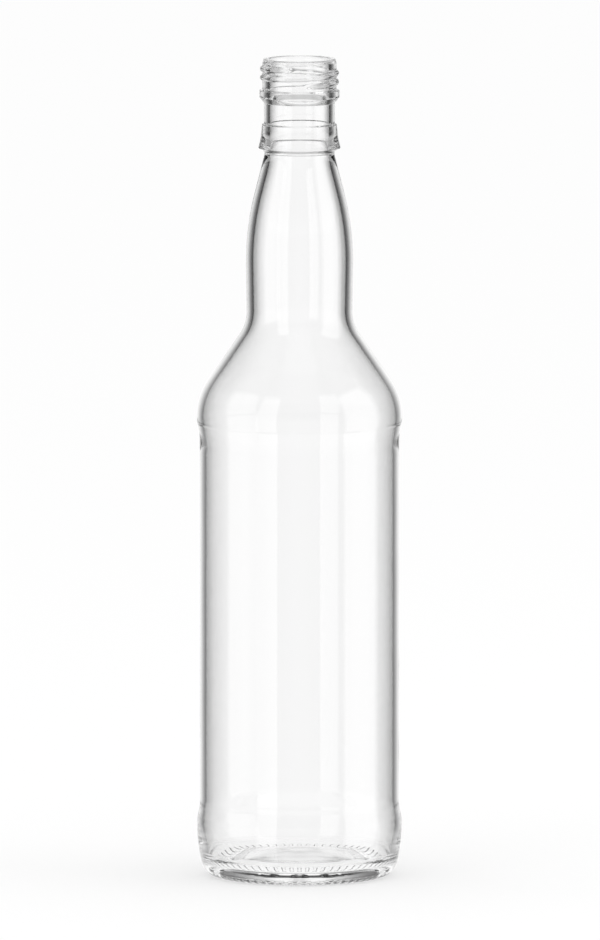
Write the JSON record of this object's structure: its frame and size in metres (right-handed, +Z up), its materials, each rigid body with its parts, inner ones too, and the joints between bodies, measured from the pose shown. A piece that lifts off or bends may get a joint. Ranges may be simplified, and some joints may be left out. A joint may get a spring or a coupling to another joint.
{
  "type": "spirit bottle",
  "caption": "Tall round clear glass spirit bottle with a bulged neck, recessed label panel and open right-hand threaded finish.",
  "frame": {"origin": "centre of the bearing ring that the bottle stands on", "axes": "+Z up along the bottle's axis to the mouth; the lower end of the thread lies on the -Y side"},
  "size_m": [0.0744, 0.0744, 0.2979],
  "materials": {
    "clear_glass": "clear polished glass"
  },
  "bodies": {
    "root": {"bottle": "clear_glass"}
  },
  "joints": []
}
